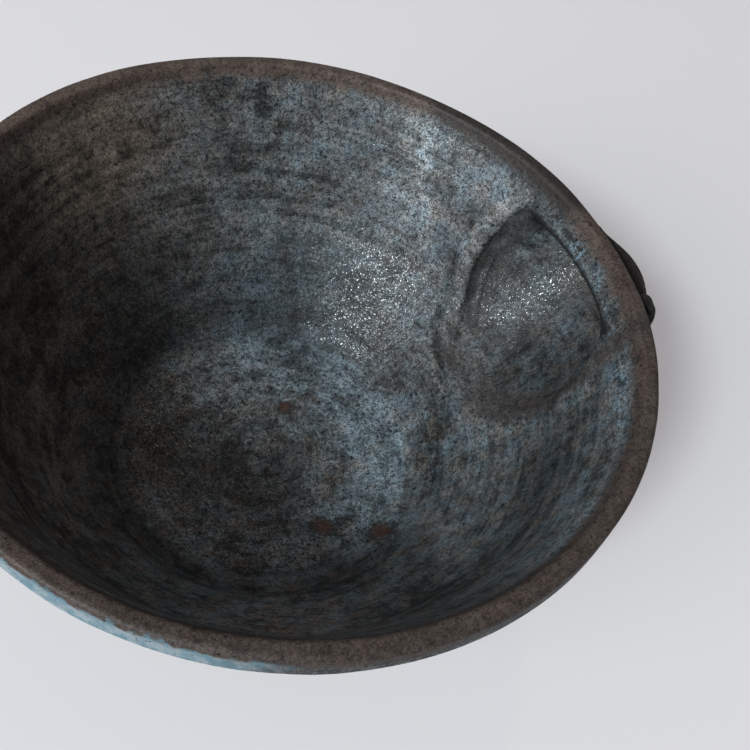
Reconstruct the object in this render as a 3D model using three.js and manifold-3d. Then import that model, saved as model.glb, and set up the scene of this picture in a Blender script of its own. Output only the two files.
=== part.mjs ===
// Spouted bowl: a wheel-thrown stoneware bowl whose pouring spout is formed separately
// and luted on over a hole cut under an unbroken rim.
// Millimetres, +Z up, the table at z = 0, the spout along +X.
import * as THREE from 'three';
import { mergeVertices } from 'three/addons/utils/BufferGeometryUtils.js';
import Module from 'manifold-3d';

const wasm = await Module();
wasm.setup();

// Bowl: every depth is measured down from the top of the rim
const height = 78;
const rimRadius = 77;
const lipThickness = 4.2;
const lipHeight = 6;
const lipFade = 4;
const lipRounding = 1.7;
const wallThickness = 5;
const shoulderRadius = 58.5;
const shoulderDepth = 35;
const shoulderRounding = 26;
const poolRadius = 36;
const poolDepth = 60;
const poolRounding = 14;
const insideDepth = 65;

// Foot
const footRadius = 28;
const footWidth = 5.5;
const footHeight = 6;
const footChamfer = 0.8;
const footShelf = 1.5;

// Hole in the wall, an upright shield with its flat side under the rim
const holeWidth = 42.5;
const holeTopDepth = 8.5;
const holeWidestDepth = 17;
const holeBottomDepth = 42.5;
const holeCorner = 7;

// Spout, from the hole to the pouring lip
const spoutOverhang = 12;
const spoutThickness = 4;
const spoutLipThickness = 3;
const spoutEdgeDepth = 8.2;
const spoutNoseRadius = 22;
const mouthWidth = 24;
const mouthWidestDepth = 6;
const mouthFloorDepth = 11;
const mouthHeadroom = 7;
const troughSag = 4.5;

// Clay worked into the joints of the spout
const coilRadius = 3.2;
const coilTopDepth = 11;
const rollRadius = 2.4;
const rollInset = 0.9;
const rollMargin = 0.6;
const rollNearEnd = -62;
const rollFarEnd = 96;

// Clearance between pieces that are only luted together
const jointGap = 0.3;

// Fineness of the round forms
const turnSteps = 72;
const outlineSteps = 20;
const cornerSteps = 5;
const arcSteps = 5;
const tubeSides = 10;
const seamSteps = 28;
const seamHalvings = 30;
const channelStations = [-0.3, 0, 0.15, 0.3, 0.45, 0.6, 0.75, 0.9, 1, 1.25];

const baseRadius = footRadius + footShelf;
const spoutReach = rimRadius + spoutOverhang;
// The origin is under the middle of the whole outline, so the bowl's axis stands off it
const axisX = (rimRadius - spoutReach) / 2;
const far = 2 * spoutReach;

// A point of a turned outline: x is the radius and y the height above the table
const atDepth = (radius, depth) => new THREE.Vector2(radius, height - depth);

// Rounds the corner b of a line a, b, c with an arc
function roundedCorner(a, b, c, radius, steps = arcSteps) {
  const back = a.clone().sub(b).normalize();
  const ahead = c.clone().sub(b).normalize();
  const halfAngle = Math.acos(THREE.MathUtils.clamp(back.dot(ahead), -1, 1)) / 2;
  const room = 0.49 * Math.min(a.distanceTo(b), c.distanceTo(b));
  const reach = Math.min(radius / Math.tan(halfAngle), room);
  const trueRadius = reach * Math.tan(halfAngle);
  const middle = back.clone().add(ahead).normalize();
  const centre = b.clone().addScaledVector(middle, trueRadius / Math.sin(halfAngle));
  const start = b.clone().addScaledVector(back, reach).sub(centre);
  const turn = (Math.PI - 2 * halfAngle) * Math.sign(start.cross(ahead));
  const points = [];
  for (let i = 0; i <= steps; i += 1) {
    points.push(start.clone().rotateAround(new THREE.Vector2(), (turn * i) / steps).add(centre));
  }
  return points;
}

// Moves a line sideways, to the right of its direction
function offsetLine(points, distance) {
  return points.map((point, i) => {
    const before = points[Math.max(i - 1, 0)];
    const after = points[Math.min(i + 1, points.length - 1)];
    const along = after.clone().sub(before).normalize();
    return new THREE.Vector2(point.x + along.y * distance, point.y - along.x * distance);
  });
}

// Radius of a rising line at a height
function radiusOn(line, z) {
  for (let i = 1; i < line.length; i += 1) {
    if (line[i].y >= z || i === line.length - 1) {
      const part = (z - line[i - 1].y) / (line[i].y - line[i - 1].y);
      return line[i - 1].x + (line[i].x - line[i - 1].x) * part;
    }
  }
  return line[0].x;
}

// Inside of the bowl, from the middle of the floor up to the rim
const floorMiddle = atDepth(0, insideDepth);
const poolCorner = atDepth(poolRadius, poolDepth);
const shoulderCorner = atDepth(shoulderRadius, shoulderDepth);
const rimInside = atDepth(rimRadius - lipThickness, 0);
const wallInside = [
  ...roundedCorner(floorMiddle, poolCorner, shoulderCorner, poolRounding),
  ...roundedCorner(poolCorner, shoulderCorner, rimInside, shoulderRounding),
  rimInside,
];

// Outside of the bowl, from the foot up to the lip
const lipUnderside = height - lipHeight;
const wallOutside = [
  new THREE.Vector2(baseRadius, footHeight),
  ...offsetLine(wallInside, wallThickness).filter(
    (point) => point.x > baseRadius + footShelf && point.y > footHeight + footShelf
      && point.y < lipUnderside - lipFade,
  ),
];
const wallTop = offsetLine([shoulderCorner, rimInside], wallThickness);
wallOutside.push(new THREE.Vector2(radiusOn(wallTop, lipUnderside - lipFade), lipUnderside - lipFade));
const lipOutside = [
  new THREE.Vector2(rimRadius, lipUnderside),
  ...roundedCorner(
    new THREE.Vector2(rimRadius, lipUnderside), atDepth(rimRadius, 0), rimInside, lipRounding,
  ),
];

function turned(points) {
  return new THREE.LatheGeometry(points, turnSteps);
}

// Turns a closed geometry into a solid for cutting
function solidOf(geometry) {
  const bare = geometry.clone();
  bare.deleteAttribute('normal');
  bare.deleteAttribute('uv');
  const merged = mergeVertices(bare, 1e-4);
  return new wasm.Manifold(new wasm.Mesh({
    numProp: 3,
    vertProperties: new Float32Array(merged.attributes.position.array),
    triVerts: new Uint32Array(merged.index.array),
  }));
}

function geometryOf(solid) {
  const mesh = solid.getMesh();
  const geometry = new THREE.BufferGeometry();
  geometry.setAttribute('position', new THREE.BufferAttribute(mesh.vertProperties, 3));
  geometry.setIndex(new THREE.BufferAttribute(mesh.triVerts, 1));
  geometry.computeVertexNormals();
  return geometry;
}

// A lathe turns about Y, and the bowl stands on Z
function turnedSolid(points) {
  return solidOf(turned(points).rotateX(Math.PI / 2));
}

// Closed skin over rings of points, with a cap at each end
function loftSolid(rings) {
  const count = rings[0].length;
  const positions = [];
  const faces = [];
  rings.forEach((ring) => ring.forEach((point) => positions.push(point.x, point.y, point.z)));
  for (let i = 0; i + 1 < rings.length; i += 1) {
    for (let j = 0; j < count; j += 1) {
      const a = i * count + j;
      const b = i * count + ((j + 1) % count);
      faces.push(a, b, b + count, a, b + count, a + count);
    }
  }
  [rings[0], rings[rings.length - 1]].forEach((ring, side) => {
    const middle = new THREE.Vector3();
    ring.forEach((point) => middle.addScaledVector(point, 1 / count));
    const hub = positions.length / 3;
    positions.push(middle.x, middle.y, middle.z);
    const first = side === 0 ? 0 : (rings.length - 1) * count;
    for (let j = 0; j < count; j += 1) {
      const a = first + j;
      const b = first + ((j + 1) % count);
      faces.push(...(side === 0 ? [hub, b, a] : [hub, a, b]));
    }
  });
  return new wasm.Manifold(new wasm.Mesh({
    numProp: 3,
    vertProperties: new Float32Array(positions),
    triVerts: new Uint32Array(faces),
  }));
}

// Tube of round section along a line of points
function tubeSolid(points, radius) {
  const path = new THREE.CatmullRomCurve3(points, false, 'centripetal');
  const section = new THREE.Shape().absarc(0, 0, radius, 0, 2 * Math.PI);
  const tube = new THREE.ExtrudeGeometry(section, {
    steps: 2 * points.length, extrudePath: path, curveSegments: tubeSides, bevelEnabled: false,
  });
  return solidOf(tube);
}

// The shield: a half ellipse below its widest line, and two round corners under a flat top.
// It runs from the near corner down round the bottom and back along the top.
function shield({ halfWidth, top, widest, bottom, corner }) {
  const points = [];
  for (let i = 0; i <= outlineSteps; i += 1) {
    const angle = Math.PI * (i / outlineSteps - 0.5);
    points.push({ y: halfWidth * Math.sin(angle), depth: widest + (bottom - widest) * Math.cos(angle) });
  }
  [1, -1].forEach((side) => {
    for (let i = 1; i <= cornerSteps; i += 1) {
      const angle = (Math.PI / 2) * (i / cornerSteps);
      const turn = side > 0 ? angle : Math.PI / 2 - angle;
      points.push({
        y: side * (halfWidth - corner * (1 - Math.cos(turn))),
        depth: widest - (widest - top) * Math.sin(turn),
      });
    }
  });
  points.pop();
  return points;
}

// Outline of the pouring channel where it leaves the bowl's inside, grown by a margin
function rootOutline(margin) {
  const outline = shield({
    halfWidth: holeWidth / 2 + margin,
    top: holeTopDepth - margin,
    widest: holeWidestDepth,
    bottom: holeBottomDepth + margin,
    corner: holeCorner + margin,
  });
  return outline.map(({ y, depth }) => {
    const radius = radiusOn(wallInside, height - depth);
    return new THREE.Vector3(Math.sqrt(radius * radius - y * y), y, height - depth);
  });
}

// Outline of the channel at the pouring lip. Its top is open, so it ends over the rim.
function mouthOutline(margin) {
  const outline = shield({
    halfWidth: mouthWidth / 2 + margin,
    top: -mouthHeadroom - margin,
    widest: mouthWidestDepth,
    bottom: mouthFloorDepth + margin,
    corner: holeCorner + margin,
  });
  return outline.map(({ y, depth }) => new THREE.Vector3(spoutReach, y, height - depth));
}

// Point on the way from the hole, at 0, to the lip, at 1.
// The way sags like a ladle below.
function channelPoint(root, mouth, part) {
  const lowest = Math.max(0, (holeWidestDepth - (height - root.z)) / (holeWidestDepth - holeBottomDepth));
  const curve = part * (1 - Math.max(part, 0));
  const point = root.clone().lerp(mouth, part);
  point.z -= 4 * troughSag * lowest * curve;
  return point;
}

function channelSolid(rootMargin, mouthMargin) {
  const roots = rootOutline(rootMargin);
  const mouths = mouthOutline(mouthMargin);
  return loftSolid(channelStations.map(
    (part) => roots.map((root, i) => channelPoint(root, mouths[i], part)),
  ));
}

// Everything inside the bowl's outer skin, grown by a gap, with no hollow
function bowlEnvelope(gap) {
  const skin = offsetLine(wallOutside, gap);
  return turnedSolid([
    new THREE.Vector2(0, footHeight - gap),
    new THREE.Vector2(baseRadius + gap, footHeight - gap),
    ...skin.slice(1),
    new THREE.Vector2(rimRadius + gap, lipUnderside - gap),
    new THREE.Vector2(rimRadius + gap, height + gap),
    new THREE.Vector2(0, height + gap),
  ]);
}

// Everything outside the bowl's inner skin, grown by a gap
function outsideOfHollow(gap) {
  const skin = offsetLine([floorMiddle, ...wallInside], -gap);
  return turnedSolid([
    new THREE.Vector2(0, 0),
    new THREE.Vector2(far, 0),
    new THREE.Vector2(far, height),
    ...skin.reverse(),
    new THREE.Vector2(0, skin[skin.length - 1].y),
  ]);
}

// Everything over a level
function spaceAbove(z) {
  const block = new THREE.BoxGeometry(2 * far, 2 * far, far);
  block.translate(0, 0, z + far / 2);
  return solidOf(block);
}

const channel = channelSolid(0, 0);
const aboveHole = spaceAbove(height - holeTopDepth);
const aboveSpout = spaceAbove(height - spoutEdgeDepth);

function bowlBody() {
  const turnedBody = turnedSolid([
    new THREE.Vector2(0, footHeight),
    ...wallOutside,
    ...lipOutside,
    ...roundedCorner(atDepth(rimRadius, 0), rimInside, shoulderCorner, lipRounding),
    ...wallInside.slice(0, -1).reverse(),
    floorMiddle,
  ]);
  return turnedBody.subtract(channel.subtract(aboveHole));
}

function footRing() {
  const inner = footRadius - footWidth;
  return turnedSolid([
    new THREE.Vector2(inner, footHeight),
    new THREE.Vector2(inner, footChamfer),
    new THREE.Vector2(inner + footChamfer, 0),
    new THREE.Vector2(footRadius - footChamfer, 0),
    new THREE.Vector2(footRadius, footChamfer),
    new THREE.Vector2(footRadius, footHeight),
    new THREE.Vector2(inner, footHeight),
  ]);
}

function spout() {
  const nose = new THREE.CylinderGeometry(spoutNoseRadius, spoutNoseRadius, 2 * height, turnSteps);
  nose.rotateX(Math.PI / 2).translate(spoutReach - spoutNoseRadius, 0, height / 2);
  return channelSolid(spoutThickness, spoutLipThickness)
    .subtract(channel)
    .subtract(bowlEnvelope(jointGap))
    .subtract(aboveSpout)
    .intersect(solidOf(nose));
}

// Where the spout's outside meets the bowl's outside, from the near edge round below to the far one
function outerSeam() {
  const roots = rootOutline(spoutThickness);
  const mouths = mouthOutline(spoutLipThickness);
  const nearTop = outlineSteps + cornerSteps + 1;
  const points = roots.map((_, step) => {
    const i = (step + nearTop) % roots.length;
    let inside = channelStations[0];
    let outside = 1;
    for (let halving = 0; halving < seamHalvings; halving += 1) {
      const part = (inside + outside) / 2;
      const point = channelPoint(roots[i], mouths[i], part);
      if (Math.hypot(point.x, point.y) < radiusOn(wallOutside, point.z)) inside = part;
      else outside = part;
    }
    return channelPoint(roots[i], mouths[i], inside);
  });
  return points.filter((point) => point.z < height - coilTopDepth);
}

function seamCoil() {
  return tubeSolid(outerSeam(), coilRadius)
    .subtract(bowlEnvelope(jointGap))
    .subtract(channelSolid(spoutThickness + jointGap, spoutLipThickness + jointGap));
}

// The ridge smoothed along the hole's inner edge. Angle 0 is the hole's lowest point.
function seamRoll() {
  const points = [];
  for (let i = 0; i <= seamSteps; i += 1) {
    const angle = THREE.MathUtils.degToRad(rollNearEnd + ((rollFarEnd - rollNearEnd) * i) / seamSteps);
    const low = Math.cos(angle) > 0;
    const rise = (low ? holeBottomDepth - holeWidestDepth : holeWidestDepth - holeTopDepth) + rollMargin;
    const depth = holeWidestDepth + rise * Math.cos(angle);
    const y = (holeWidth / 2 + rollMargin) * Math.sin(angle);
    const radius = radiusOn(wallInside, height - depth) + rollInset;
    points.push(new THREE.Vector3(Math.sqrt(radius * radius - y * y), y, height - depth));
  }
  return tubeSolid(points, rollRadius)
    .subtract(outsideOfHollow(jointGap))
    .subtract(channel);
}

const group = new THREE.Group();

function addPiece(name, solid, color, roughness) {
  const material = new THREE.MeshStandardMaterial({ color, roughness, metalness: 0 });
  const mesh = new THREE.Mesh(geometryOf(solid), material);
  mesh.name = name;
  mesh.position.x = axisX;
  group.add(mesh);
}

addPiece('bowl_body', bowlBody(), 0x3b3f42, 0.45);
addPiece('foot_ring', footRing(), 0x2f2a27, 0.6);
addPiece('spout', spout(), 0x3d4143, 0.45);
addPiece('spout_seam_coil', seamCoil(), 0x34373a, 0.5);
addPiece('inner_seam_roll', seamRoll(), 0x474b4d, 0.45);

export default group;
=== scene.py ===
"""Looks of the spouted bowl: dark iron glaze over a wheel-thrown body with a luted spout."""

import math

import bpy
import numpy as np
from mathutils import Matrix, Vector


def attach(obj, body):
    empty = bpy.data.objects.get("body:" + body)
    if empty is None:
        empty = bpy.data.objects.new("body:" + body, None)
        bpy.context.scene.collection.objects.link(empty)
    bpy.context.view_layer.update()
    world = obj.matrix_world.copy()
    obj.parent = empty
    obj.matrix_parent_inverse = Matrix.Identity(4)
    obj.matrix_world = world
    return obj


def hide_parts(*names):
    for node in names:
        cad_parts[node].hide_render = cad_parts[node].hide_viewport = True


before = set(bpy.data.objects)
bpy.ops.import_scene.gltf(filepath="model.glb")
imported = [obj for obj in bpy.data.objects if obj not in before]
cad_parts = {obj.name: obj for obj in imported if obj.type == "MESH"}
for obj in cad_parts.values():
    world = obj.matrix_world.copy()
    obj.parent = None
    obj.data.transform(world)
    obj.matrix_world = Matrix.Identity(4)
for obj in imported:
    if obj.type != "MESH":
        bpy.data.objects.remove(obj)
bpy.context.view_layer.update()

# Sizes of the bowl in millimetres. Depths are measured down from the rim.
MM = 0.001
HEIGHT = 78.0
RIM_RADIUS = 77.0
LIP_THICKNESS = 4.2
LIP_HEIGHT = 6.0
LIP_FADE = 4.0
LIP_ROUNDING = 1.7
LIP_UNDER_ROUNDING = 1.6
WALL_THICKNESS = 5.0
SHOULDER_RADIUS, SHOULDER_DEPTH, SHOULDER_ROUNDING = 58.5, 35.0, 26.0
POOL_RADIUS, POOL_DEPTH, POOL_ROUNDING = 36.0, 60.0, 14.0
INSIDE_DEPTH = 65.0
FOOT_RADIUS, FOOT_WIDTH, FOOT_HEIGHT, FOOT_SHELF = 28.0, 5.5, 6.0, 1.5
FOOT_ROUNDING, FOOT_ROOT = 1.2, 0.6
BASE_RADIUS = FOOT_RADIUS + FOOT_SHELF

# The hole, the channel and the spout
HOLE_WIDTH = 42.5
HOLE_TOP_DEPTH = 8.5
HOLE_WIDEST_DEPTH = 17.0
HOLE_BOTTOM_DEPTH = 42.5
HOLE_CORNER = 7.0
HOLE_SIDE_X = 63.0
HOLE_BOTTOM_X = 53.6
HOLE_TOP_X = 69.0
SPOUT_REACH = 88.6
SPOUT_THICKNESS = 4.0
SPOUT_LIP_THICKNESS = 3.0
SPOUT_EDGE_DEPTH = 8.6
SPOUT_FAR_DROP_START, SPOUT_FAR_DROP = 8.0, 0.22
SPOUT_NOSE_RADIUS, SPOUT_NOSE_SHIFT = 28.5, 1.1
MOUTH_HALF_WIDTH = 12.0
MOUTH_WIDEST_DEPTH = 6.0
MOUTH_FLOOR_DEPTH = 9.0
MOUTH_HEADROOM = 7.0
TROUGH_SAG = 4.5
TROUGH_LEAN = 0.32
KNOB, KNOB_RADIUS = (82.3, -11.2, HEIGHT - 9.8), 2.2

# X where the hole begins to change the body, and where the spout's wall thins and its far edge drops
HOLE_START_X = 35
SPOUT_THINNING = 65, 89
SPOUT_FAR_DROP_X = 75, 82

# Widths over which edges are rounded
SPOUT_EDGE_ROUNDING, SPOUT_NOSE_ROUNDING, SPOUT_INSIDE_ROUNDING = 1.6, 1.4, 2.2
CHANNEL_ROUNDING, HOLE_TOP_ROUNDING, KNOB_ROUNDING = 2.0, 0.6, 2.5

# How deep each piece runs into the wall
TONGUE_ROOT, SPOUT_ROOT, ROLL_ROOT, COIL_ROOT = 2, 3.4, 0.9, 0.8

# How far the body's tongue lies under the spout's skin, and how far from the wall's skin the body and the
# spout both still line the channel
TONGUE_INSET, SHARED_SKIN = 0.7, 0.35

# The coil of clay in the outside joint
COIL_FILLET, COIL_REACH, COIL_INSET = 8.0, 6.5, 0.02
COIL_TOP_DEPTH, COIL_START_X, COIL_CHANNEL_MARGIN = 13, 47, 1.4

# Throwing rings lie along a run up the wall: a share of the height less a share of the radius
RUN_UP, RUN_IN = 0.9, 0.35
RING_SPACING, FINE_RING_SPACING = 6.3, 3.7
SHOULDER_RING = RUN_UP * (HEIGHT - 33) - RUN_IN * 59
UPPER_RING = RUN_UP * (HEIGHT - 24) - RUN_IN * 63

# The seam inside the bowl: angles round the hole where each stretch fades in and out
RIDGE_MARGIN, RIDGE_INSIDE, RIDGE_OUTSIDE, RIDGE_HEIGHT = 4.0, 3.4, 4.2, 1.25
RIDGE_START = math.radians(-116), math.radians(-86)
RIDGE_END = math.radians(95), math.radians(125)
GROOVE_START = math.radians(10), math.radians(45)
SECOND_RIDGE_START = math.radians(48), math.radians(70)
GROOVE_END = math.radians(104), math.radians(122)

# X of the bowl's axis in the row frame, whose origin lies under the middle of the whole outline
AXIS_X = -6.0

# Outlines of the skin and the hollow are closed beyond the axis, below the table and above their top
FAR_SIDE, FAR_BELOW, FAR_ABOVE = -90.0, -10.0, 30

# How fine outlines and tables are, the tables' radius and height, and the seed of the unevenness
ARC_STEPS = 14
FOOT_ARC_STEPS, FOOT_TURN_STEPS = 5, 120
TABLE_STEP = 0.125
TABLE_LOW, TABLE_HIGH = (0.0, -4.0), (96.0, 86.0)
SEED = 11


def rounded_corner(a, b, c, radius, steps=ARC_STEPS):
    """Points of an arc in place of the corner b."""
    a, b, c = (np.array(point, float) for point in (a, b, c))
    back = (a - b) / np.linalg.norm(a - b)
    ahead = (c - b) / np.linalg.norm(c - b)
    half = math.acos(np.clip(back @ ahead, -1, 1)) / 2
    room = 0.49 * min(np.linalg.norm(a - b), np.linalg.norm(c - b))
    reach = min(radius / math.tan(half), room)
    true_radius = reach * math.tan(half)
    middle = (back + ahead) / np.linalg.norm(back + ahead)
    centre = b + middle * true_radius / math.sin(half)
    start = b + back * reach - centre
    turn = math.pi - 2 * half
    if start[0] * ahead[1] - start[1] * ahead[0] < 0:
        turn = -turn
    angles = np.linspace(0, turn, steps + 1)
    cos, sin = np.cos(angles), np.sin(angles)
    return [
        centre + np.array([start[0] * c - start[1] * s, start[0] * s + start[1] * c])
        for c, s in zip(cos, sin)
    ]


def offset_line(points, distance):
    """Moves a line sideways, to the right of its direction."""
    points = np.array(points)
    before = points[np.maximum(np.arange(len(points)) - 1, 0)]
    after = points[np.minimum(np.arange(len(points)) + 1, len(points) - 1)]
    along = (after - before) / np.linalg.norm(after - before, axis=1, keepdims=True)
    return points + distance * np.stack([along[:, 1], -along[:, 0]], 1)


def at_depth(radius, depth):
    return np.array([radius, HEIGHT - depth])


FLOOR_MIDDLE = at_depth(0, INSIDE_DEPTH)
POOL_CORNER = at_depth(POOL_RADIUS, POOL_DEPTH)
SHOULDER_CORNER = at_depth(SHOULDER_RADIUS, SHOULDER_DEPTH)
RIM_INSIDE = at_depth(RIM_RADIUS - LIP_THICKNESS, 0)
WALL_INSIDE = np.array(
    [FLOOR_MIDDLE]
    + rounded_corner(FLOOR_MIDDLE, POOL_CORNER, SHOULDER_CORNER, POOL_ROUNDING)
    + rounded_corner(POOL_CORNER, SHOULDER_CORNER, RIM_INSIDE, SHOULDER_ROUNDING)
    + [RIM_INSIDE]
)
LIP_UNDERSIDE = HEIGHT - LIP_HEIGHT


def outer_wall():
    """The outside from the foot up to the start of the lip."""
    skin = offset_line(WALL_INSIDE, WALL_THICKNESS)
    kept = [
        point
        for point in skin
        if point[0] > BASE_RADIUS + 1 and FOOT_HEIGHT + 1 < point[1] < LIP_UNDERSIDE - LIP_FADE
    ]
    top = offset_line(np.array([SHOULDER_CORNER, RIM_INSIDE]), WALL_THICKNESS)
    z = LIP_UNDERSIDE - LIP_FADE
    x = np.interp(z, top[:, 1], top[:, 0])
    base = np.array([BASE_RADIUS, FOOT_HEIGHT])
    return [base] + kept + [np.array([x, z])]


WALL_OUTSIDE = outer_wall()


def bowl_outline():
    """The closed outline of the turned body, in radius and height."""
    lip_low = np.array([RIM_RADIUS, LIP_UNDERSIDE])
    lip_high = at_depth(RIM_RADIUS, 0)
    inner = list(WALL_INSIDE[::-1])
    return np.array(
        [np.array([0, FOOT_HEIGHT])]
        + WALL_OUTSIDE
        + rounded_corner(WALL_OUTSIDE[-1], lip_low, lip_high, LIP_UNDER_ROUNDING)
        + rounded_corner(lip_low, lip_high, RIM_INSIDE, LIP_ROUNDING)
        + rounded_corner(lip_high, RIM_INSIDE, SHOULDER_CORNER, LIP_ROUNDING)
        + inner[1:]
    )


def polygon_distance(points, outline):
    """Signed distance from points to a closed outline, below zero inside it."""
    best = np.full(len(points), 1e9)
    inside = np.zeros(len(points), bool)
    px, py = points[:, 0], points[:, 1]
    for a, b in zip(outline, np.roll(outline, -1, axis=0)):
        edge = b - a
        size = edge @ edge
        if size < 1e-12:
            continue
        t = np.clip(((px - a[0]) * edge[0] + (py - a[1]) * edge[1]) / size, 0, 1)
        dx, dy = px - a[0] - t * edge[0], py - a[1] - t * edge[1]
        best = np.minimum(best, dx * dx + dy * dy)
        if a[1] != b[1]:
            crosses = (a[1] > py) != (b[1] > py)
            inside ^= crosses & (px < (b[0] - a[0]) * (py - a[1]) / (b[1] - a[1]) + a[0])
    return np.where(inside, -1, 1) * np.sqrt(best)


class Table:
    """A field of radius and height, kept on a fine net and read between its points."""

    def __init__(self, function):
        self.count = [int((high - low) / TABLE_STEP) + 1 for high, low in zip(TABLE_HIGH, TABLE_LOW)]
        first = TABLE_LOW[0] + TABLE_STEP * np.arange(self.count[0])
        second = TABLE_LOW[1] + TABLE_STEP * np.arange(self.count[1])
        grid = np.stack(np.meshgrid(first, second, indexing="ij"), -1).reshape(-1, 2)
        self.values = function(grid).reshape(self.count).astype(np.float32)

    def __call__(self, radius, z):
        u = np.clip((radius - TABLE_LOW[0]) / TABLE_STEP, 0, self.count[0] - 1.001)
        v = np.clip((z - TABLE_LOW[1]) / TABLE_STEP, 0, self.count[1] - 1.001)
        i, j = u.astype(np.int32), v.astype(np.int32)
        u, v = u - i, v - j
        w = self.values
        low = w[i, j] * (1 - v) + w[i, j + 1] * v
        high = w[i + 1, j] * (1 - v) + w[i + 1, j + 1] * v
        return low * (1 - u) + high * u


bowl_table = Table(lambda points: polygon_distance(points, bowl_outline()))


def envelope_outline():
    """The bowl's outer skin with no hollow, carried straight on over the lip."""
    top = WALL_OUTSIDE[-1]
    slope = (WALL_OUTSIDE[-1] - WALL_OUTSIDE[-3]) / (WALL_OUTSIDE[-1][1] - WALL_OUTSIDE[-3][1])
    over = top + slope * FAR_ABOVE
    under = [np.array([FAR_SIDE, FAR_BELOW]), np.array([BASE_RADIUS, FAR_BELOW])]
    return np.array(under + WALL_OUTSIDE + [over, np.array([FAR_SIDE, over[1]])])


skin_table = Table(lambda points: polygon_distance(points, envelope_outline()))


def hollow_outline():
    """The bowl's inside, carried straight on over the rim."""
    slope = (RIM_INSIDE - SHOULDER_CORNER) / (RIM_INSIDE - SHOULDER_CORNER)[1]
    over = RIM_INSIDE + slope * FAR_ABOVE
    under = [np.array([FAR_SIDE, WALL_INSIDE[0][1]])]
    return np.array(under + list(WALL_INSIDE) + [over, np.array([FAR_SIDE, over[1]])])


hollow_table = Table(lambda points: -polygon_distance(points, hollow_outline()))


def smooth_max(a, b, k):
    """Greater of two fields with the edge between them rounded over a width k."""
    h = np.maximum(k - np.abs(a - b), 0) / k
    return np.maximum(a, b) + h * h * k / 4


def smooth_min(a, b, k):
    return -smooth_max(-a, -b, k)


def ramp(x, steepness=0.25):
    """Nothing below zero and ever steeper above it."""
    return steepness * np.square(np.maximum(x, 0))


def smooth_step(x, low, high):
    t = np.clip((x - low) / (high - low), 0, 1)
    return t * t * (3 - 2 * t)


class Noise:
    """Smooth values from a seeded lattice that repeats far away."""

    SIZE = 32

    def __init__(self, seed):
        self.lattice = np.random.default_rng(seed).uniform(-1, 1, (self.SIZE,) * 3).astype(np.float32)

    def __call__(self, x, y, z):
        cell, part = [], []
        for value in (x, y, z):
            floor = np.floor(value)
            cell.append(floor.astype(np.int32) % self.SIZE)
            t = value - floor
            part.append(t * t * t * (t * (t * 6 - 15) + 10))
        total = 0.0
        for dx in (0, 1):
            for dy in (0, 1):
                for dz in (0, 1):
                    weight = (
                        (part[0] if dx else 1 - part[0])
                        * (part[1] if dy else 1 - part[1])
                        * (part[2] if dz else 1 - part[2])
                    )
                    i = (cell[0] + dx) % self.SIZE
                    j = (cell[1] + dy) % self.SIZE
                    k = (cell[2] + dz) % self.SIZE
                    total = total + weight * self.lattice[i, j, k]
        return total


unevenness = Noise(SEED)


def channel_size(x):
    """Half width, widest depth and floor depth of the pouring channel at x."""
    side = (x - HOLE_SIDE_X) / (SPOUT_REACH - HOLE_SIDE_X)
    below = (x - HOLE_BOTTOM_X) / (SPOUT_REACH - HOLE_BOTTOM_X)
    half = HOLE_WIDTH / 2 + (MOUTH_HALF_WIDTH - HOLE_WIDTH / 2) * side
    widest = HOLE_WIDEST_DEPTH + (MOUTH_WIDEST_DEPTH - HOLE_WIDEST_DEPTH) * side
    sag = 4 * TROUGH_SAG * below * (1 - np.maximum(below, 0))
    floor = HOLE_BOTTOM_DEPTH + (MOUTH_FLOOR_DEPTH - HOLE_BOTTOM_DEPTH) * below + sag
    return half, widest, floor


def trough_field(x, y, z, grown, power=2.0):
    """Distance to a trough, open above: U-shaped at power 2, and more like a V below that."""
    half, widest, floor = channel_size(x)
    depth = HEIGHT - z
    half, drop = half + grown, floor - widest + grown
    low = np.maximum(depth - widest, 1e-3) / drop
    side = np.abs(y) / half + 1e-3
    size = (side ** power + low ** power) ** (1 / power)
    slope = np.hypot(side ** (power - 1) / half, low ** (power - 1) / drop) * size ** (1 - power)
    return (size - 1) / slope


def shoulder_field(x, y, z):
    """Distance over the channel's round upper corners, which open out towards the mouth."""
    half, widest, _ = channel_size(x)
    opening = np.clip((x - HOLE_TOP_X) / (SPOUT_REACH - HOLE_TOP_X), 0, 1)
    rise = widest - HOLE_TOP_DEPTH + (HOLE_TOP_DEPTH + MOUTH_HEADROOM) * opening
    past = np.maximum(np.abs(y) - (half - HOLE_CORNER), 0) / HOLE_CORNER
    up = np.maximum(widest - (HEIGHT - z), 0) / rise
    return (np.sqrt(past * past + up * up + 1e-9) - 1) * rise


def spout_form(x, y, z):
    """The spout's outer form before the trough is cut out of it."""
    thickness = SPOUT_THICKNESS + (SPOUT_LIP_THICKNESS - SPOUT_THICKNESS) * smooth_step(x, *SPOUT_THINNING)
    outer = trough_field(x, y, z, thickness)
    edge = z - (HEIGHT - SPOUT_EDGE_DEPTH)
    far = np.maximum(y - SPOUT_FAR_DROP_START, 0)
    edge = edge + SPOUT_FAR_DROP * far * smooth_step(x, *SPOUT_FAR_DROP_X)
    nose = np.hypot(x - (SPOUT_REACH - SPOUT_NOSE_RADIUS), y - SPOUT_NOSE_SHIFT) - SPOUT_NOSE_RADIUS
    nose = np.where(x > SPOUT_REACH - SPOUT_NOSE_RADIUS, nose, -20)
    return smooth_max(smooth_max(outer, edge, SPOUT_EDGE_ROUNDING), nose, SPOUT_NOSE_ROUNDING)


def cut_softness(y, z):
    """How wide the rounding of the hole's edge is: crisp under the rim, soft at the sides."""
    depth = HEIGHT - z
    return 0.9 + 1.5 * smooth_step(depth, 10, 19) - 0.6 * smooth_step(depth, 20, 38)


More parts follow.
